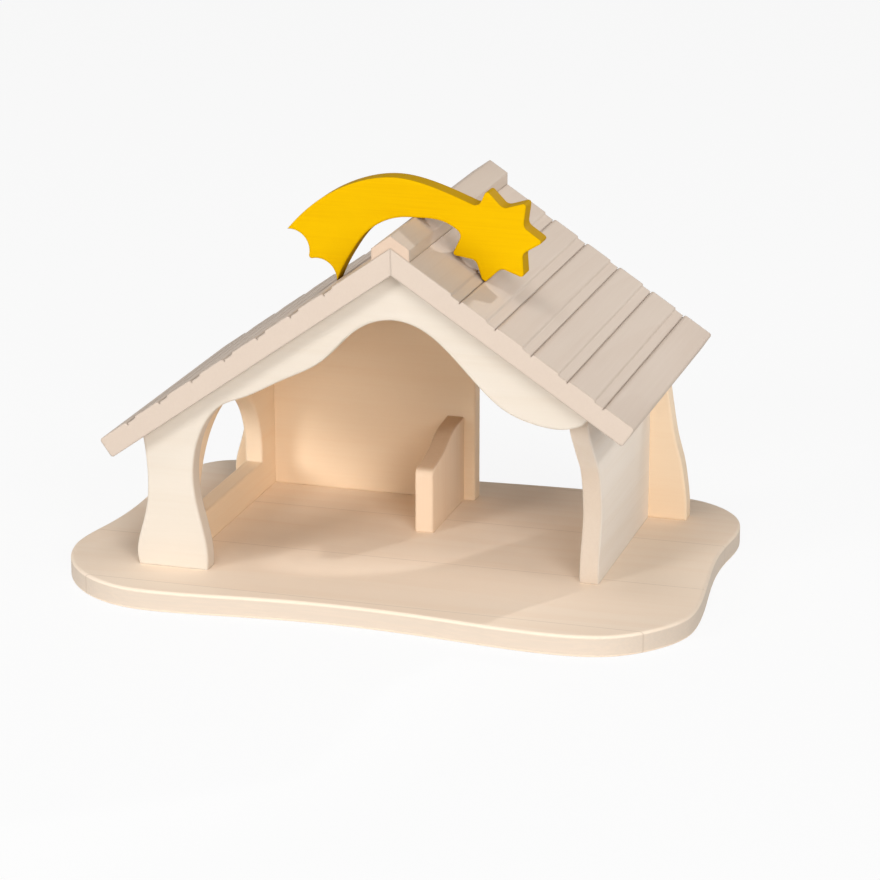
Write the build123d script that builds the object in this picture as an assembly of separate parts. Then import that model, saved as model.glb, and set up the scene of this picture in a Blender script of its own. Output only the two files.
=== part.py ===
from build123d import *
import os
from math import cos, radians, sin, tan

# Wooden stable with an open front, seen from the front along +Y.
# Millimetres, +Z up, origin under the middle of the base board.

# Boards
base_thick = 15.0
wall_thick = 13.5
roof_thick = 15.0
edge_round = 1.5

# House: distances along X are taken from the ridge, heights from the floor
left_wall_from_ridge = 157.3
right_wall_from_ridge = 127.8
house_depth = 211.5
ridge_height = 241.0
left_pitch = 35.5
right_pitch = 33.3
eave_overhang = 37.7
front_overhang = 13.8
rear_overhang = 14.7

# Base board: margins round the house, and its outline as shares of half its length and depth
base_left_margin = 75.75
base_right_margin = 74.25
base_front_margin = 51.5
base_rear_margin = 38.0
base_round = 2.0
base_outline_shares = (
    (-1.0, -0.49), (-0.943, -0.72), (-0.841, -0.885), (-0.722, -0.97), (-0.553, -0.985),
    (-0.324, -0.95), (-0.036, -0.927), (0.254, -0.953), (0.482, -0.991), (0.651, -1.0),
    (0.801, -0.957), (0.93, -0.80), (0.992, -0.62), (1.0, -0.46), (0.987, -0.21),
    (0.963, 0.18), (0.966, 0.37), (0.9755, 0.57), (0.947, 0.775), (0.868, 0.918), (0.757, 0.996),
    (0.66, 1.0), (0.363, 0.993), (0.055, 0.968), (-0.354, 0.945), (-0.752, 0.968), (-0.857, 0.922),
    (-0.925, 0.79), (-0.96, 0.22), (-0.978, -0.165))

# Legs: shares of the height under the roof, and of how far each leg reaches past its wall
leg_flare = 18.3
leg_outer_shares = ((0.0, 0.91), (0.087, 1.0), (0.267, 0.855), (0.51, 0.56), (0.72, 0.50), (0.91, 0.55))
leg_top_share = 0.64
leg_reveal = 20.0
leg_inner_shares = ((0.0, 1.0), (0.18, 0.955), (0.37, 0.713), (0.58, 0.539), (0.78, 0.641), (0.95, 0.99))
rear_leg_flare = 28.2
rear_leg_shares = ((0.0, 1.0), (0.11, 0.986), (0.22, 0.92), (0.32, 0.83), (0.43, 0.68), (0.56, 0.56),
                   (0.69, 0.46))
rear_leg_top_share = 0.38

# Front arch: shares of the distance from the ridge to the wall, and of the gable's depth at the ridge
gable_band = 34.3
arch_left_shares = ((0.795, 0.41), (0.703, 0.525), (0.52, 0.694), (0.34, 0.83), (0.228, 0.685),
                    (0.127, 0.688))
arch_right_shares = ((0.11, 0.85), (0.301, 0.927), (0.433, 1.117), (0.588, 1.216), (0.743, 1.047),
                     (0.876, 0.773), (0.986, 0.402))
gable_tail_share = 1.05

# Doorway in the rear panel
door_left_from_ridge = 2.5
door_right_reveal = 9.0
door_spring = 90.0
door_rise = 32.0

# Window in the left wall
window_sill = 24.0
window_spring = 8.0
window_lintel = 8.5
window_stile = 28.0

# Front edge of the right wall: shares of its height, and of how far it steps back behind the gable
right_wall_step = 42.4
right_wall_shares = ((0.0, 0.83), (0.126, 0.847), (0.221, 0.93), (0.33, 1.0), (0.425, 0.965), (0.54, 0.85),
                     (0.593, 0.755), (0.66, 0.555), (0.737, 0.342), (0.80, 0.16), (0.88, 0.0))

# Divider: shares of its length, and of the rise of its top from front to rear
divider_from_door = 8.3
divider_length = 79.0
divider_front_height = 47.8
divider_rear_height = 63.6
divider_nose = 7.0
divider_top_shares = ((0.275, 0.14), (0.45, 0.39), (0.55, 0.60), (0.65, 0.78), (0.77, 0.88))

# Roof grooves, measured down the slope: a shallow rebate, then a kerf at the next plank's rounded edge
plank_width = 29.0
top_plank_width = 58.0
groove_width = 8.4
groove_depth = 1.25
groove_bevel = 1.0
nose_width = 2.0
kerf_width = 0.7
kerf_depth = 1.2
eave_round = 2.0

# Ridge cap
cap_rise = 8.5
cap_half_width = 13.1
cap_round = 1.2

# Comet: a star whose seventh point is the tail, bent over the ridge
comet_thick = 15.0
comet_from_roof_front = 55.0
comet_seat = 0.4
star_points = 7
star_turn = -1.5
star_radius = 32.9
star_notch_radius = 20.9
star_from_ridge = 55.7
star_below_cap = 10.55
star_notch_round = 5.0
star_tip_round = 2.0
tail_point = 3
tail_notch_radius = 23.2
tail_notch_share = 0.74
tail_band = 26.0
tail_reach = 90.15
tail_drop = 14.2
tail_foot_from_ridge = 55.4
tail_outer_shares = ((0.876, 0.2985), (0.694, 0.619), (0.4576, 0.878), (0.1547, 1.0), (-0.1026, 0.903))
tail_inner_shares = ((0.914, 0.777), (0.7785, 0.508), (0.626, 0.273), (0.417, 0.096), (0.18, 0.01), (0.0, 0.0))
star_side_shares = ((-0.373, 0.0375), (-0.492, 0.106))
tail_fan = 5.2
tail_scallop = 7.6
comet_round = 0.8

# Dowels
dowel_diameter = 6.0
dowel_chamfer = 0.6
base_dowel_bury = 10.0
base_dowel_rise = 18.0
wall_dowel_bury = 8.0
wall_dowel_rise = 14.0
roof_dowel_half = 9.0
ridge_dowel_half = 9.5
ridge_dowel_below = 12.5
comet_dowel_rise = 12.0
comet_dowel_bury = 16.0
dowel_end_gap = 0.5
pair_shares = (0.25, 0.75)
end_shares = (0.12, 0.88)
row_shares = (0.1, 0.5, 0.9)
wall_dowel_shares = (0.3, 0.8)
left_roof_dowel_shares = (0.4, 1.03)
right_roof_dowel_shares = (0.45, 0.85)
divider_dowel_share = 0.7
glue_gap = 0.05
running_gap = 0.06
cut_overrun = 20.0

# Places worked out from the sizes above
left_outer_from_ridge = left_wall_from_ridge + wall_thick
right_inner_from_ridge = right_wall_from_ridge - wall_thick
base_length = left_outer_from_ridge + right_wall_from_ridge + base_left_margin + base_right_margin
base_depth = house_depth + base_front_margin + base_rear_margin
ridge_x = base_length / 2 - base_right_margin - right_wall_from_ridge
left_outer_x = ridge_x - left_outer_from_ridge
left_inner_x = ridge_x - left_wall_from_ridge
right_outer_x = ridge_x + right_wall_from_ridge
right_inner_x = ridge_x + right_inner_from_ridge
door_left_x = ridge_x - door_left_from_ridge
door_right_x = right_inner_x - door_right_reveal
divider_left_x = door_left_x - divider_from_door - wall_thick
gable_front_y = base_front_margin - base_depth / 2
gable_back_y = gable_front_y + wall_thick
rear_back_y = gable_front_y + house_depth
rear_front_y = rear_back_y - wall_thick
divider_front_y = rear_front_y - divider_length
roof_front_y = gable_front_y - front_overhang
roof_depth = house_depth + front_overhang + rear_overhang
floor_z = base_thick
apex_z = floor_z + ridge_height
left_slope = tan(radians(left_pitch))
right_slope = tan(radians(right_pitch))
left_roof_drop = roof_thick / cos(radians(left_pitch))
right_roof_drop = roof_thick / cos(radians(right_pitch))
left_run = left_outer_from_ridge + eave_overhang
right_run = right_wall_from_ridge + eave_overhang
cap_peak_z = apex_z + cap_rise
comet_front_y = roof_front_y + comet_from_roof_front
comet_middle_y = comet_front_y + comet_thick / 2


def under_left(run):
    """Height of the left roof board's underside, at a run to the left of the ridge."""
    return apex_z - left_roof_drop - run * left_slope


def under_right(run):
    """Height of the right roof board's underside, at a run to the right of the ridge."""
    return apex_z - right_roof_drop - run * right_slope


mitre_foot_run = (left_roof_drop - right_roof_drop) / (left_slope + right_slope)
mitre_foot = (ridge_x + mitre_foot_run, under_right(mitre_foot_run))


def board_along_y(edges, front_y, thick):
    """Board cut to an outline in X and Z, from its front face backwards."""
    return extrude(Plane.XZ * Pos(0, 0, -front_y) * make_face(edges), amount=thick, dir=(0, 1, 0))


def board_along_x(edges, left_face_x, thick):
    """Board cut to an outline in Y and Z, from its left face to the right."""
    return extrude(Plane.YZ * Pos(0, 0, left_face_x) * make_face(edges), amount=thick, dir=(1, 0, 0))


def corners_at(outline, points):
    """The corner of a flat outline that lies closest to each point."""
    return [outline.vertices().sort_by_distance(Vector(*point))[0] for point in points]


def soften(board, axis, radius, kinds=None, inside_only=False):
    """Round the rims of a board's two wide faces, or only the rims of some kinds or of its holes."""
    rims = []
    for face in board.faces().filter_by(axis).sort_by(SortBy.AREA)[-2:]:
        wires = face.inner_wires() if inside_only else face.wires()
        rims += [edge for wire in wires for edge in wire.edges() if kinds is None or edge.geom_type in kinds]
    return fillet(rims, radius)


def leg_outer_points():
    """Outer edge of a left leg, from its foot up to the roof."""
    height = under_left(left_outer_from_ridge + leg_flare) - floor_z
    points = [(left_outer_x - leg_flare * out, floor_z + height * up) for up, out in leg_outer_shares]
    top_run = left_outer_from_ridge + leg_flare * leg_top_share
    return points + [(ridge_x - top_run, under_left(top_run))]


def make_base():
    outline = Spline(*[(base_length / 2 * along, base_depth / 2 * across)
                       for along, across in base_outline_shares], periodic=True)
    board = extrude(make_face(outline), amount=base_thick)
    rims = board.faces().sort_by(Axis.Z)
    return fillet(rims[0].edges() + rims[-1].edges(), base_round)


def make_front_gable():
    outer = leg_outer_points()
    leg_height = under_left(left_wall_from_ridge) - floor_z
    inner = [(left_inner_x + leg_reveal * out, floor_z + leg_height * up) for up, out in leg_inner_shares]
    for share, depth in arch_left_shares:
        run = left_wall_from_ridge * share
        inner.append((ridge_x - run, under_left(run) - gable_band * depth))
    inner.append((ridge_x, under_left(0) - gable_band))
    for share, depth in arch_right_shares:
        run = right_wall_from_ridge * share
        inner.append((ridge_x + run, under_right(run) - gable_band * depth))
    tail_run = right_wall_from_ridge * gable_tail_share
    tail = (ridge_x + tail_run, under_right(tail_run))
    edges = [Spline(*outer), Polyline(outer[-1], mitre_foot, tail, inner[-1]), Spline(*inner),
             Line(inner[0], outer[0])]
    return soften(board_along_y(edges, gable_front_y, wall_thick), Axis.Y, edge_round, [GeomType.BSPLINE])


def make_rear_panel():
    outer = leg_outer_points()
    height = under_right(right_wall_from_ridge) - floor_z
    leg = [(right_outer_x + rear_leg_flare * out, floor_z + height * up) for up, out in rear_leg_shares]
    top_run = right_wall_from_ridge + rear_leg_flare * rear_leg_top_share
    leg.append((ridge_x + top_run, under_right(top_run)))
    spring_z = floor_z + door_spring
    door_arch = EllipticalCenterArc(((door_left_x + door_right_x) / 2, spring_z),
                                    (door_right_x - door_left_x) / 2, door_rise, start_angle=0, arc_size=180)
    edges = [Spline(*outer), Polyline(outer[-1], mitre_foot, leg[-1]), Spline(*leg),
             Polyline(leg[0], (door_right_x, floor_z), (door_right_x, spring_z)), door_arch,
             Polyline((door_left_x, spring_z), (door_left_x, floor_z), outer[0])]
    return soften(board_along_y(edges, rear_front_y, wall_thick), Axis.Y, edge_round,
                  [GeomType.BSPLINE, GeomType.ELLIPSE])


def roof_trim(left):
    """Everything above the underside of one slope, to cut a wall to the roof's angle."""
    far_run = left_run if left else right_run
    under = under_left if left else under_right
    side = -1 if left else 1
    low = (ridge_x + side * far_run, under(far_run))
    high = (ridge_x, under(0))
    edges = Polyline(low, high, (ridge_x, apex_z + cut_overrun), (low[0], apex_z + cut_overrun), close=True)
    return board_along_y(edges, roof_front_y, roof_depth)


def make_left_wall():
    top_z = under_left(left_wall_from_ridge)
    edges = Polyline((gable_back_y, floor_z), (rear_front_y, floor_z), (rear_front_y, top_z),
                     (gable_back_y, top_z), close=True)
    wall = board_along_x(edges, left_outer_x, wall_thick)
    wall -= roof_trim(left=True)
    front = gable_back_y + window_stile
    rear = rear_front_y - window_stile
    sill_z = floor_z + window_sill
    spring_z = sill_z + window_spring
    rise = under_left(left_outer_from_ridge) - window_lintel - spring_z
    arch = EllipticalCenterArc(((front + rear) / 2, spring_z), (rear - front) / 2, rise,
                               start_angle=0, arc_size=180)
    opening = [arch, Polyline((front, spring_z), (front, sill_z), (rear, sill_z), (rear, spring_z))]
    wall -= board_along_x(opening, left_outer_x - cut_overrun, wall_thick + 2 * cut_overrun)
    return soften(wall, Axis.X, edge_round, inside_only=True)


def make_right_wall():
    height = under_right(right_wall_from_ridge) - floor_z
    front = [(gable_back_y + right_wall_step * back, floor_z + height * up) for up, back in right_wall_shares]
    top_z = under_right(right_inner_from_ridge)
    edges = [Spline(*front), Polyline(front[-1], (gable_back_y, top_z), (rear_front_y, top_z),
                                      (rear_front_y, floor_z), front[0])]
    wall = board_along_x(edges, right_inner_x, wall_thick)
    return soften(wall - roof_trim(left=False), Axis.X, edge_round, [GeomType.BSPLINE])


def make_divider():
    front_z = floor_z + divider_front_height
    rise = divider_rear_height - divider_front_height
    top = [(divider_front_y + divider_nose, front_z)]
    top += [(divider_front_y + divider_length * along, front_z + rise * up)
            for along, up in divider_top_shares]
    top.append((rear_front_y, floor_z + divider_rear_height))
    nose_start = (divider_front_y, front_z - divider_nose)
    edges = [Line((divider_front_y, floor_z), nose_start), TangentArc(nose_start, top[0], tangent=(0, 1)),
             Spline(*top), Polyline(top[-1], (rear_front_y, floor_z), (divider_front_y, floor_z))]
    return soften(board_along_x(edges, divider_left_x, wall_thick), Axis.X, edge_round,
                  [GeomType.BSPLINE, GeomType.CIRCLE])


def make_roof_board(left, grooved=True):
    """One slope: the plank grooves are milled into its upper face."""
    pitch = radians(left_pitch if left else right_pitch)
    side = -1 if left else 1
    run = left_run if left else right_run
    down = (side * cos(pitch), -sin(pitch))
    inward = (-side * sin(pitch), -cos(pitch))

    def at(along, depth):
        return (ridge_x + along * down[0] + depth * inward[0],
                apex_z + along * down[1] + depth * inward[1])

    length = run / cos(pitch)
    joint = top_plank_width
    edges = []
    last = at(0, 0)
    while grooved and joint + nose_width < length - eave_round:
        bevel_top = at(joint - groove_width, 0)
        bevel_foot = at(joint - groove_width + groove_bevel, groove_depth)
        nose_foot = at(joint, groove_depth)
        nose_top = at(joint + nose_width, 0)
        edges += [Line(last, bevel_top), TangentArc(nose_top, nose_foot, tangent=(-down[0], -down[1])),
                  Polyline(bevel_top, bevel_foot, at(joint - kerf_width, groove_depth),
                           at(joint - kerf_width, groove_depth + kerf_depth),
                           at(joint, groove_depth + kerf_depth), nose_foot)]
        last = nose_top
        joint += plank_width
    eave = [at(length, 0), at(length, roof_thick)]
    outline = make_face(edges + [Polyline(last, *eave, mitre_foot, at(0, 0))])
    return board_along_y(fillet(corners_at(outline, eave), eave_round).edges(), roof_front_y, roof_depth)


def make_ridge_cap():
    left_x = ridge_x - cap_half_width
    right_x = ridge_x + cap_half_width
    left_z = apex_z - cap_half_width * left_slope
    right_z = apex_z - cap_half_width * right_slope
    edges = Polyline((ridge_x, cap_peak_z), (right_x, right_z + cap_rise), (right_x, right_z),
                     (ridge_x, apex_z), (left_x, left_z), (left_x, left_z + cap_rise), close=True)
    return board_along_y(edges, roof_front_y, roof_depth)


def round_cap(cap):
    peak = cap.edges().filter_by(Axis.Y).sort_by(Axis.Z)[-1:]
    return fillet(peak, cap_round)


def star_corner(index, radius, half_step):
    """A tip of the star, or with half_step the notch that follows it."""
    angle = radians(star_turn + (index + 0.5 * half_step) * 360 / star_points)
    centre = (ridge_x + star_from_ridge, cap_peak_z - star_below_cap)
    return (centre[0] + radius * cos(angle), centre[1] + radius * sin(angle))


def scallop(start, end):
    """Hollow between two tips of the tail, bulging into the comet."""
    chord = Vector(*end) - Vector(*start)
    into = Vector(chord.Y, -chord.X).normalized() * tail_scallop
    middle = (Vector(*start) + Vector(*end)) * 0.5 + into
    return ThreePointArc(start, (middle.X, middle.Y), end)


def make_comet():
    upper_notch = star_corner(tail_point - 1, tail_notch_radius, tail_notch_share)
    lower_notch = star_corner(tail_point, tail_notch_radius, 1)
    corners = [upper_notch]
    for index in range(tail_point - 1, tail_point - star_points, -1):
        corners += [star_corner(index, star_radius, 0), star_corner(index - 1, star_notch_radius, 1)]
    corners[-1] = lower_notch
    crown_z = cap_peak_z + tail_band
    tail_high = (ridge_x - tail_reach, cap_peak_z - tail_drop)
    tail_low = (ridge_x - tail_foot_from_ridge, apex_z - tail_foot_from_ridge * left_slope - comet_seat)
    tail_edge = Vector(*tail_high) - Vector(*tail_low)
    outward = Vector(-tail_edge.Y, tail_edge.X).normalized() * tail_fan
    tail_middle = (Vector(*tail_high) + Vector(*tail_low)) * 0.5 + outward
    tail_middle = (tail_middle.X, tail_middle.Y)
    over = [(ridge_x - tail_reach * out, tail_high[1] + (crown_z - tail_high[1]) * rise)
            for out, rise in tail_outer_shares]
    outer = Spline(tail_high, *over, upper_notch)
    seat_z = cap_peak_z - comet_seat
    under = [(ridge_x - tail_foot_from_ridge * out, seat_z - (seat_z - tail_low[1]) * fall)
             for out, fall in tail_inner_shares + star_side_shares]
    inner = Spline(tail_low, *under, lower_notch)
    outline = make_face([outer, Polyline(*corners), inner, scallop(tail_low, tail_middle),
                         scallop(tail_middle, tail_high)])
    outline = fillet(corners_at(outline, corners[0::2]), star_notch_round)
    outline = fillet(corners_at(outline, corners[1::2] + [tail_middle]), star_tip_round)
    return soften(board_along_y(outline.edges(), comet_front_y, comet_thick), Axis.Y, comet_round)


def dowel(point, direction, bury, rise):
    """Dowel from a depth below a joint's face to a height above it."""
    peg = Pos(0, 0, (rise - bury) / 2) * Cylinder(dowel_diameter / 2, bury + rise)
    peg = chamfer(peg.edges().filter_by(GeomType.CIRCLE), dowel_chamfer)
    return Plane(point, z_dir=direction) * peg


def bore(point, direction, bury, rise, gap=glue_gap):
    """Hole for the same dowel, a little wider and deeper."""
    hole = Cylinder(dowel_diameter / 2 + gap, bury + rise + 2 * dowel_end_gap)
    return Plane(point, z_dir=direction) * Pos(0, 0, (rise - bury) / 2) * hole


def between(start, end, shares):
    """Places at some shares of the way from a start to an end."""
    return [start + (end - start) * share for share in shares]


def base_joint(points):
    """Dowels from the base board up into a board that stands on it."""
    return [((x, y, floor_z), (0, 0, 1), base_dowel_bury, base_dowel_rise) for x, y in points]


def wall_joint(points, direction):
    """Dowels from a wide face into the edge of a board that butts against it."""
    return [(point, direction, wall_dowel_bury, wall_dowel_rise) for point in points]


def roof_joint(left, ys, run_shares):
    """Dowels square to a slope, from the gable and the rear panel into the roof board."""
    pitch = radians(left_pitch if left else right_pitch)
    side = -1 if left else 1
    wall_run = left_wall_from_ridge if left else right_wall_from_ridge
    under = under_left if left else under_right
    places = []
    for y in ys:
        for run in [wall_run * share for share in run_shares]:
            point = (ridge_x + side * run, y, under(run))
            places.append((point, (side * sin(pitch), 0, cos(pitch)), roof_dowel_half, roof_dowel_half))
    return places


def dowel_places():
    """Every group of dowels, with the boards that it joins."""
    gable_y = gable_front_y + wall_thick / 2
    rear_y = rear_front_y + wall_thick / 2
    left_x = left_outer_x + wall_thick / 2
    right_x = right_inner_x + wall_thick / 2
    divider_x = divider_left_x + wall_thick / 2
    leg_xs = between(left_outer_x - leg_flare, left_inner_x + leg_reveal, pair_shares)
    rear_xs = between(left_outer_x - leg_flare, door_left_x, row_shares)
    rear_xs += between(door_right_x, right_outer_x + rear_leg_flare, pair_shares)
    left_ys = between(gable_back_y, rear_front_y, end_shares)
    right_ys = between(gable_back_y + right_wall_step, rear_front_y, end_shares)
    divider_ys = between(divider_front_y, rear_front_y, pair_shares)
    ridge_ys = between(roof_front_y, roof_front_y + roof_depth, row_shares)
    left_zs = between(floor_z, under_left(left_outer_from_ridge), wall_dowel_shares)
    right_top_z = under_right(right_wall_from_ridge)
    right_zs = between(floor_z, right_top_z, wall_dowel_shares)
    wing_z = (floor_z + right_top_z + (right_top_z - floor_z) * right_wall_shares[-1][0]) / 2
    divider_z = floor_z + divider_rear_height * divider_dowel_share
    ridge_z = apex_z - ridge_dowel_below
    back = (0, 1, 0)
    forward = (0, -1, 0)
    return {
        "front_leg_dowels": (["base_board", "front_gable"], base_joint([(x, gable_y) for x in leg_xs])),
        "rear_panel_dowels": (["base_board", "rear_panel"], base_joint([(x, rear_y) for x in rear_xs])),
        "left_wall_base_dowels": (["base_board", "left_wall"], base_joint([(left_x, y) for y in left_ys])),
        "right_wall_base_dowels": (["base_board", "right_wall"],
                                   base_joint([(right_x, y) for y in right_ys])),
        "divider_base_dowels": (["base_board", "divider"], base_joint([(divider_x, y) for y in divider_ys])),
        "left_wall_front_dowels": (["front_gable", "left_wall"],
                                   wall_joint([(left_x, gable_back_y, z) for z in left_zs], back)),
        "left_wall_rear_dowels": (["rear_panel", "left_wall"],
                                  wall_joint([(left_x, rear_front_y, z) for z in left_zs], forward)),
        "right_wall_front_dowel": (["front_gable", "right_wall"],
                                   wall_joint([(right_x, gable_back_y, wing_z)], back)),
        "right_wall_rear_dowels": (["rear_panel", "right_wall"],
                                   wall_joint([(right_x, rear_front_y, z) for z in right_zs], forward)),
        "divider_rear_dowel": (["rear_panel", "divider"],
                               wall_joint([(divider_x, rear_front_y, divider_z)], forward)),
        "left_roof_dowels": (["front_gable", "rear_panel", "roof_left"],
                             roof_joint(True, [gable_y, rear_y], left_roof_dowel_shares)),
        "right_roof_dowels": (["front_gable", "rear_panel", "roof_right"],
                              roof_joint(False, [gable_y, rear_y], right_roof_dowel_shares)),
        "ridge_dowels": (["roof_left", "roof_right"],
                         [((ridge_x, y, ridge_z), (1, 0, 0), ridge_dowel_half, ridge_dowel_half)
                          for y in ridge_ys]),
    }


def make_pieces():
    """All pieces by name, seated on each other and drilled for their dowels."""
    sharp_cap = make_ridge_cap()
    pieces = {
        "base_board": make_base(),
        "front_gable": make_front_gable(),
        "rear_panel": make_rear_panel(),
        "left_wall": make_left_wall(),
        "right_wall": make_right_wall(),
        "divider": make_divider(),
        "roof_left": make_roof_board(left=True),
        "roof_right": make_roof_board(left=False),
        "ridge_cap": round_cap(sharp_cap),
    }
    pieces["comet"] = make_comet() - sharp_cap
    for left in (True, False):
        pieces["comet"] -= make_roof_board(left, grooved=False)
    for name, (boards, places) in dowel_places().items():
        for board in boards:
            for place in places:
                pieces[board] -= bore(*place)
        pieces[name] = Compound([dowel(*place) for place in places])
    comet_place = ((ridge_x, comet_middle_y, cap_peak_z), (0, 0, 1), comet_dowel_bury, comet_dowel_rise)
    for board in ("ridge_cap", "roof_left", "roof_right"):
        pieces[board] -= bore(*comet_place, gap=running_gap)
    pieces["comet"] -= bore(*comet_place)
    pieces["comet_dowel"] = dowel(*comet_place)
    return pieces


if __name__ == "__main__":
    os.makedirs("parts", exist_ok=True)
    for name, piece in make_pieces().items():
        export_step(piece, f"parts/{name}.step")
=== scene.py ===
from math import pi

import bpy
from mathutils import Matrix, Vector

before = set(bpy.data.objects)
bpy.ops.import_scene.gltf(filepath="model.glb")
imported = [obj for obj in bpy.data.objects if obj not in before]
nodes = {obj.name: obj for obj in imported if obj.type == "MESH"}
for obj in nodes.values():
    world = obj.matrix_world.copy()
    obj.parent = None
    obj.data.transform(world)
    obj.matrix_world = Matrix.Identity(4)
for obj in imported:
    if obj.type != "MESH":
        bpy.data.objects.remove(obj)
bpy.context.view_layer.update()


# Shader expressions

class Value:
    """One output of some nodes. Sums and products of values are written as they are."""

    def __init__(self, owner, socket):
        self.owner = owner
        self.socket = socket

    def maths(self, operation, first, second=0.0):
        return self.owner.node("ShaderNodeMath", {"operation": operation}, {0: first, 1: second})

    def __add__(self, other):
        return self.maths("ADD", self, other)

    __radd__ = __add__

    def __sub__(self, other):
        return self.maths("SUBTRACT", self, other)

    def __rsub__(self, other):
        return self.maths("SUBTRACT", other, self)

    def __mul__(self, other):
        return self.maths("MULTIPLY", self, other)

    __rmul__ = __mul__

    def __truediv__(self, other):
        return self.maths("DIVIDE", self, other)

    def __abs__(self):
        return self.maths("ABSOLUTE", self)

    def fraction(self):
        return self.maths("FRACT", self)

    def whole(self):
        return self.maths("FLOOR", self)

    def larger(self, other):
        return self.maths("MAXIMUM", self, other)


class Nodes:
    """The nodes of a material or of the world."""

    def __init__(self, tree):
        self.tree = tree

    def put(self, target, key, value):
        """A link or a value for one socket. A colour is written without its alpha."""
        socket = target.inputs[key]
        if isinstance(value, Value):
            self.tree.links.new(value.socket, socket)
        elif socket.type == "RGBA":
            socket.default_value = (*value, 1.0)
        else:
            socket.default_value = value

    def node(self, kind, settings=None, sockets=None, output=0):
        """Any node: its type, its settings, the values or links of its sockets, and which output is used."""
        made = self.tree.nodes.new(kind)
        for key, value in (settings or {}).items():
            setattr(made, key, value)
        for key, value in (sockets or {}).items():
            self.put(made, key, value)
        return Value(self, made.outputs[output])

    def seen_plainly(self):
        """1 for rays that come from the camera, or by way of a gloss or a glass, and 0 for light on the object."""
        camera = self.node("ShaderNodeLightPath", output="Is Camera Ray")
        gloss = self.node("ShaderNodeLightPath", output="Is Glossy Ray")
        glass = self.node("ShaderNodeLightPath", output="Is Transmission Ray")
        return camera.larger(gloss).larger(glass)


class Finish(Nodes):
    """A material that ends in one Principled shader."""

    def __init__(self, name):
        self.material = bpy.data.materials.new(name)
        self.material.use_nodes = True
        super().__init__(self.material.node_tree)
        self.shader = self.tree.nodes["Principled BSDF"]

    def surface(self, sockets):
        for key, value in sockets.items():
            self.put(self.shader, key, value)
        return self.material

    def place(self):
        return self.node("ShaderNodeTexCoord", output="Object")

    def turned(self, place, turn, shift):
        return self.node("ShaderNodeMapping", sockets={"Vector": place, "Rotation": turn, "Location": shift})

    def along(self, place, axis):
        return self.node("ShaderNodeSeparateXYZ", sockets={0: place}, output=axis)

    def beside(self, place, axis, shift):
        """A place moved along one axis by a value."""
        moved = self.node("ShaderNodeCombineXYZ", sockets={axis: shift})
        return self.node("ShaderNodeVectorMath", {"operation": "ADD"}, {0: place, 1: moved})

    def stretched(self, place, scale):
        return self.node("ShaderNodeVectorMath", {"operation": "MULTIPLY"}, {0: place, 1: scale})

    def length(self, place):
        return self.node("ShaderNodeVectorMath", {"operation": "LENGTH"}, {0: place}, output=1)

    def facing(self, first, second):
        return self.node("ShaderNodeVectorMath", {"operation": "DOT_PRODUCT"}, {0: first, 1: second}, output=1)

    def noise(self, place, scale, detail=2.0, rough=0.5):
        """Noise from 0 to 1, with its own scale along each axis in features a metre."""
        sockets = {"Vector": self.stretched(place, scale), "Scale": 1.0, "Detail": detail, "Roughness": rough}
        return self.node("ShaderNodeTexNoise", {"noise_dimensions": "3D"}, sockets)

    def chance(self, value):
        """A number from 0 to 1 drawn for each whole value."""
        return self.node("ShaderNodeTexWhiteNoise", {"noise_dimensions": "1D"}, {"W": value})

    def span(self, value, low, high):
        """A value's stretch from low to high spread smoothly from 0 to 1."""
        sockets = {"Value": value, "From Min": low, "From Max": high, "To Min": 0.0, "To Max": 1.0}
        return self.node("ShaderNodeMapRange", {"interpolation_type": "SMOOTHSTEP"}, sockets)

    def blend(self, share, first, second):
        """Two colours mixed by a share."""
        settings = {"data_type": "RGBA", "blend_type": "MIX", "clamp_factor": True}
        return self.node("ShaderNodeMix", settings, {0: share, 6: first, 7: second}, output=2)


# Pale wood

GRAIN_TURNS = {"X": (0.0, 0.0, 0.0), "Y": (0.0, 0.0, -pi / 2), "Z": (0.0, pi / 2, 0.0)}
GRAIN_AXES = {"X": (1.0, 0.0, 0.0), "Y": (0.0, 1.0, 0.0), "Z": (0.0, 0.0, 1.0)}
EDGE_ROUND = 0.002
RING_WIDTH = 0.0065
RING_STRETCH = (0.04, 1.0, 1.0)
SWAY_REACH = 0.022
RIPPLE_REACH = 0.0022
STAVE_WIDTH = 0.091
STAVE_SHIFT = 3.0
STAVE_DROP = 0.05
STAVE_CONTRAST = 0.5
FRONT_SEAM_Y = -0.130
SEAM_HALF = 0.0004
SEAM_TONE = (0.42, 0.30, 0.20)

# Features of the wood a metre, along the grain and across it
SWAY_SCALE = (2.2, 9.0, 9.0)
RIPPLE_SCALE = (9.0, 60.0, 60.0)
FIBRE_SCALE = (14.0, 620.0, 620.0)
STREAK_SCALE = (2.0, 95.0, 95.0)
FLECK_SCALE = (150.0, 1500.0, 1500.0)
CLOUD_SCALE = (3.5, 16.0, 16.0)
STAIN_FIBRE_SCALE = (16.0, 620.0, 620.0)
STAIN_CLOUD_SCALE = (14.0, 40.0, 40.0)
SPECK_SCALE = (900.0, 900.0, 900.0)

# How much each feature darkens the wood
STREAK_SHARE = 0.3
FIBRE_SHARE = 0.6
CLOUD_SHARE = 0.8
FLECK_SHARE = 0.16


def worn_edges(finish):
    """Softened normal of a sanded board, and how near its edges each point lies."""
    soft = finish.node("ShaderNodeBevel", {"samples": 6}, {"Radius": EDGE_ROUND})
    plain = finish.node("ShaderNodeNewGeometry", output="Normal")
    return soft, finish.span(finish.facing(soft, plain), 0.998, 0.86)


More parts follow.
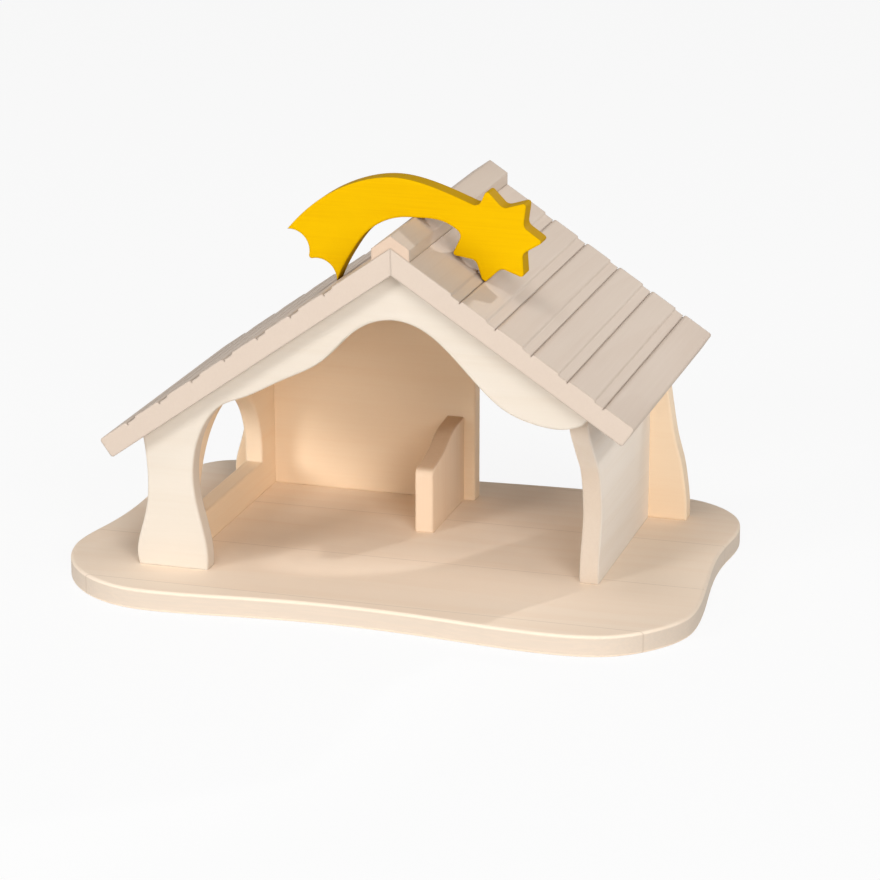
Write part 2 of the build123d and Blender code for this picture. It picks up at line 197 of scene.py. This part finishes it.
def pale_wood(name, grain, pith, light, dark, end_tone, ring_depth, staves=False):
    """Sanded pale wood whose grain runs along one axis, with rings about a pith line beside the board.

    With staves, the board is glued up from strips, each with its own rings and tone, and thin glue seams."""
    finish = Finish(name)
    place = finish.place()
    board = finish.turned(place, GRAIN_TURNS[grain], pith)
    stave_tone, seam = 0.0, 0.0
    if staves:
        strip = (finish.along(place, "Y") - FRONT_SEAM_Y) / STAVE_WIDTH
        drawn = finish.chance(strip.whole())
        board = finish.beside(finish.beside(board, "X", drawn * STAVE_SHIFT), "Z", drawn * STAVE_DROP)
        stave_tone = (drawn - 0.5) * STAVE_CONTRAST
        seam = finish.span(abs((strip + 0.5).fraction() - 0.5), SEAM_HALF / STAVE_WIDTH * 2.0, 0.0)
    sway = finish.noise(board, SWAY_SCALE) - 0.5
    ripple = finish.noise(board, RIPPLE_SCALE, 3.0) - 0.5
    across = finish.length(finish.stretched(board, RING_STRETCH))
    ring = ((across + sway * SWAY_REACH + ripple * RIPPLE_REACH) / RING_WIDTH).fraction()
    late = finish.span(ring, 0.25, 0.92) * finish.span(ring, 1.0, 0.94)
    fibre = finish.noise(board, FIBRE_SCALE, 3.0, 0.6)
    streak = finish.span(finish.noise(board, STREAK_SCALE), 0.5, 0.75)
    fleck = finish.span(finish.noise(board, FLECK_SCALE, 1.0), 0.66, 0.78)
    cloud = finish.noise(board, CLOUD_SCALE) - 0.5
    depth = (late * ring_depth + streak * STREAK_SHARE + (fibre - 0.5) * FIBRE_SHARE
             + cloud * CLOUD_SHARE + fleck * FLECK_SHARE + stave_tone)
    soft, edge = worn_edges(finish)
    normal = finish.node("ShaderNodeTexCoord", output="Normal")
    end = finish.span(abs(finish.facing(normal, GRAIN_AXES[grain])), 0.55, 0.95)
    if staves:
        end = finish.span(abs(finish.facing(normal, GRAIN_AXES["Z"])), 0.45, 0.05)
    tone = finish.blend(finish.span(depth, -0.5, 1.1), light, dark)
    tone = finish.blend(end * 0.8, tone, end_tone)
    tone = finish.blend(end * finish.span(fibre, 0.35, 0.7) * 0.15, tone, dark)
    tone = finish.blend(edge * 0.2, tone, light)
    if staves:
        tone = finish.blend(seam * 0.3, tone, SEAM_TONE)
    height = fibre * 0.6 + late * 0.25 - fleck * 0.3
    bump = finish.node("ShaderNodeBump", sockets={"Strength": 0.2, "Distance": 0.0003, "Height": height,
                                                  "Normal": soft})
    return finish.surface({"Base Color": tone, "Roughness": 0.6 + (fibre - 0.5) * 0.2 - edge * 0.08,
                           "Normal": bump, "IOR": 1.45, "Specular IOR Level": 0.25})


def yellow_stain(name, light, dark, shaded_sides_tone, bare):
    """Matt yellow colour on wood, with painted shade darkening its sawn sides, the grain just showing and thin on
    the edges.
    """
    finish = Finish(name)
    place = finish.place()
    fibre = finish.noise(place, STAIN_FIBRE_SCALE, 3.0, 0.6)
    cloud = finish.noise(place, STAIN_CLOUD_SCALE)
    speck = finish.span(finish.noise(place, SPECK_SCALE, 1.0), 0.62, 0.78)
    soft, edge = worn_edges(finish)
    normal = finish.node("ShaderNodeTexCoord", output="Normal")
    shaded_side_mask = finish.span(abs(finish.facing(normal, GRAIN_AXES["Y"])), 0.7, 0.3)
    tone = finish.blend(finish.span(fibre * 0.6 + cloud * 0.4, 0.3, 0.75), light, dark)
    # Painted shade: every thickness face of the comet is pulled towards the darker side tone
    tone = finish.blend(shaded_side_mask, tone, shaded_sides_tone)
    tone = finish.blend(edge * finish.span(cloud, 0.35, 0.65) * 0.15, tone, bare)
    height = fibre * 0.5 + speck * 0.3
    bump = finish.node("ShaderNodeBump", sockets={"Strength": 0.16, "Distance": 0.0004, "Height": height,
                                                  "Normal": soft})
    return finish.surface({"Base Color": tone, "Roughness": 0.62 + (fibre - 0.5) * 0.2 + speck * 0.06,
                           "Normal": bump, "Specular IOR Level": 0.03})


# Tones of each board: light wood, dark wood and end grain
GABLE_TONES = ((0.76, 0.685, 0.59), (0.725, 0.63, 0.52), (0.71, 0.605, 0.50))
# The inside boards are warmer and lighter than the gable: partly their own warmer wood, partly painted warm bounce
# light of the inside
INNER_TONES_WITH_BOUNCE_LIGHT = ((0.96, 0.765, 0.55), (0.92, 0.685, 0.46), (0.93, 0.74, 0.54))
DIVIDER_TONES = ((0.87, 0.675, 0.495), (0.82, 0.595, 0.415), (0.60, 0.395, 0.24))
SIDE_TONES = ((0.83, 0.755, 0.67), (0.78, 0.68, 0.57), (0.63, 0.51, 0.40))
# The roof boards and ridge cap are darker and greyer than the walls: painted shade for the dimmer light on the
# roof
ROOF_TONES_WITH_SHADE = ((0.615, 0.51, 0.42), (0.58, 0.465, 0.375), (0.64, 0.53, 0.44))
CAP_TONES_WITH_SHADE = ((0.60, 0.495, 0.40), (0.565, 0.45, 0.36), (0.68, 0.50, 0.37))
BASE_TONES = ((0.95, 0.80, 0.645), (0.91, 0.73, 0.565), (0.63, 0.53, 0.435))
PLAIN_RINGS, FAINT_RINGS = 0.3, 0.15
DOWEL_PITH = (6.0, 0.02, 0.03)

# The comet's stain: light, dark, painted shade on the sawn sides, and bare edges
COMET_TONES = ((0.785, 0.462, 0.0), (0.74, 0.41, 0.0), (0.50, 0.28, 0.0), (0.82, 0.53, 0.02))

# Each board: axis of its grain, place of its pith, tones, strength of its rings, and glued from staves or not
boards = {
    "base_board": ("X", (0.3, 0.05, 0.21), BASE_TONES, PLAIN_RINGS, True),
    "front_gable": ("X", (0.7, -0.05, -0.04), GABLE_TONES, FAINT_RINGS, False),
    "rear_panel": ("X", (1.1, 0.12, -0.06), INNER_TONES_WITH_BOUNCE_LIGHT, FAINT_RINGS, False),
    "left_wall": ("Y", (1.7, 0.17, 0.02), INNER_TONES_WITH_BOUNCE_LIGHT, FAINT_RINGS, False),
    "right_wall": ("Y", (2.3, -0.06, 0.03), SIDE_TONES, FAINT_RINGS, False),
    "divider": ("Z", (2.9, 0.05, 0.04), DIVIDER_TONES, FAINT_RINGS, False),
    "roof_left": ("Y", (3.7, -0.02, 0.11), ROOF_TONES_WITH_SHADE, PLAIN_RINGS, False),
    "roof_right": ("Y", (4.3, 0.13, -0.03), ROOF_TONES_WITH_SHADE, PLAIN_RINGS, False),
    "ridge_cap": ("Y", (5.1, 0.05, -0.17), CAP_TONES_WITH_SHADE, PLAIN_RINGS, False),
}


def dress(node, material):
    node.data.materials.clear()
    node.data.materials.append(material)


for name, (grain, pith, tones, rings, staves) in boards.items():
    dress(nodes[name], pale_wood(name + "_wood", grain, pith, *tones, rings, staves))
dowel_wood = pale_wood("dowel_wood", "Z", DOWEL_PITH, *SIDE_TONES, PLAIN_RINGS)
for name, node in nodes.items():
    if "dowel" in name:
        dress(node, dowel_wood)
dress(nodes["comet"], yellow_stain("comet_yellow", *COMET_TONES))


# Floor, light and camera

FLOOR_SIZE = 12.0
PAPER = (0.86, 0.86, 0.86)
WHITE = (1.0, 1.0, 1.0)
PAPER_GLOW = 0.9
WORLD_LIGHT = 0.17
LAMP_AIM = (0.0, 0.0, 0.12)
ROOF_AIM = (0.09, 0.0, 0.2)
SPOT_PLACE = (1.087, 1.727, 1.13)
SPOT_CONE = 0.17
SPOT_BLEND = 0.6
SPOT_SOFTNESS = 0.05
SPOT_POWER = 78.0
CAMERA_PLACE = (0.6326, -2.0488, 0.7612)
CAMERA_AIM = (0.0534, -0.1035, 0.1255)
CAMERA_LENS = 131.195
SENSOR_WIDTH = 36.0

# Each lamp: its place, its width and its power
lamps = {
    "left_lamp": ((-2.688, -3.985, 1.498), 1.7, 102.0),
    "right_lamp": ((2.668, -3.811, 1.953), 2.3, 111.0),
    "low_lamp": ((0.3, -5.0, 0.4), 2.0, 22.0),
    "side_lamp": ((4.514, -0.395, 2.233), 1.9, 26.0),
    "top_lamp": ((0.0, -0.9, 2.2), 0.9, 12.5),
}


def make_floor():
    bpy.ops.object.select_all(action="DESELECT")
    bpy.ops.mesh.primitive_plane_add(size=FLOOR_SIZE, location=(0.0, 0.0, 0.0))
    floor = bpy.context.object
    floor.name = "studio_floor"
    finish = Finish("white_paper")
    finish.surface({"Base Color": PAPER, "Roughness": 0.9})
    paper = Value(finish, finish.shader.outputs[0])
    glow = finish.node("ShaderNodeEmission", sockets={"Color": WHITE, "Strength": 1.0})
    mixed = finish.node("ShaderNodeMixShader",
                        sockets={0: finish.seen_plainly() * PAPER_GLOW, 1: paper, 2: glow})
    finish.put(finish.tree.nodes["Material Output"], "Surface", mixed)
    floor.data.materials.append(finish.material)


def make_world():
    """White where it is seen, and plain soft light on the object."""
    world = bpy.data.worlds.new("studio")
    bpy.context.scene.world = world
    world.use_nodes = True
    sky = Nodes(world.node_tree)
    back = sky.tree.nodes["Background"]
    sky.put(back, "Color", WHITE)
    sky.put(back, "Strength", WORLD_LIGHT + sky.seen_plainly() * (1.0 - WORLD_LIGHT))


def aimed(name, data, place, aim):
    holder = bpy.data.objects.new(name, data)
    holder.location = place
    holder.rotation_mode = "QUATERNION"
    holder.rotation_quaternion = (Vector(aim) - Vector(place)).to_track_quat("-Z", "Y")
    bpy.context.scene.collection.objects.link(holder)
    return holder


def make_lamp(name, place, size, power):
    lamp = bpy.data.lights.new(name, "AREA")
    lamp.shape = "DISK"
    lamp.size = size
    lamp.energy = power
    aimed(name, lamp, place, LAMP_AIM)


def make_roof_spot():
    """A narrow lamp from behind, which lights the right slope and throws the comet's shadow forward."""
    lamp = bpy.data.lights.new("roof_spot", "SPOT")
    lamp.spot_size = SPOT_CONE
    lamp.spot_blend = SPOT_BLEND
    lamp.shadow_soft_size = SPOT_SOFTNESS
    lamp.energy = SPOT_POWER
    aimed("roof_spot", lamp, SPOT_PLACE, ROOF_AIM)


def make_camera():
    camera = bpy.data.cameras.new("photo_camera")
    camera.lens = CAMERA_LENS
    camera.sensor_width = SENSOR_WIDTH
    camera.sensor_fit = "HORIZONTAL"
    bpy.context.scene.camera = aimed("photo_camera", camera, CAMERA_PLACE, CAMERA_AIM)


make_floor()
make_world()
for name, (place, size, power) in lamps.items():
    make_lamp(name, place, size, power)
make_roof_spot()
make_camera()
bpy.context.scene.view_settings.view_transform = "Standard"
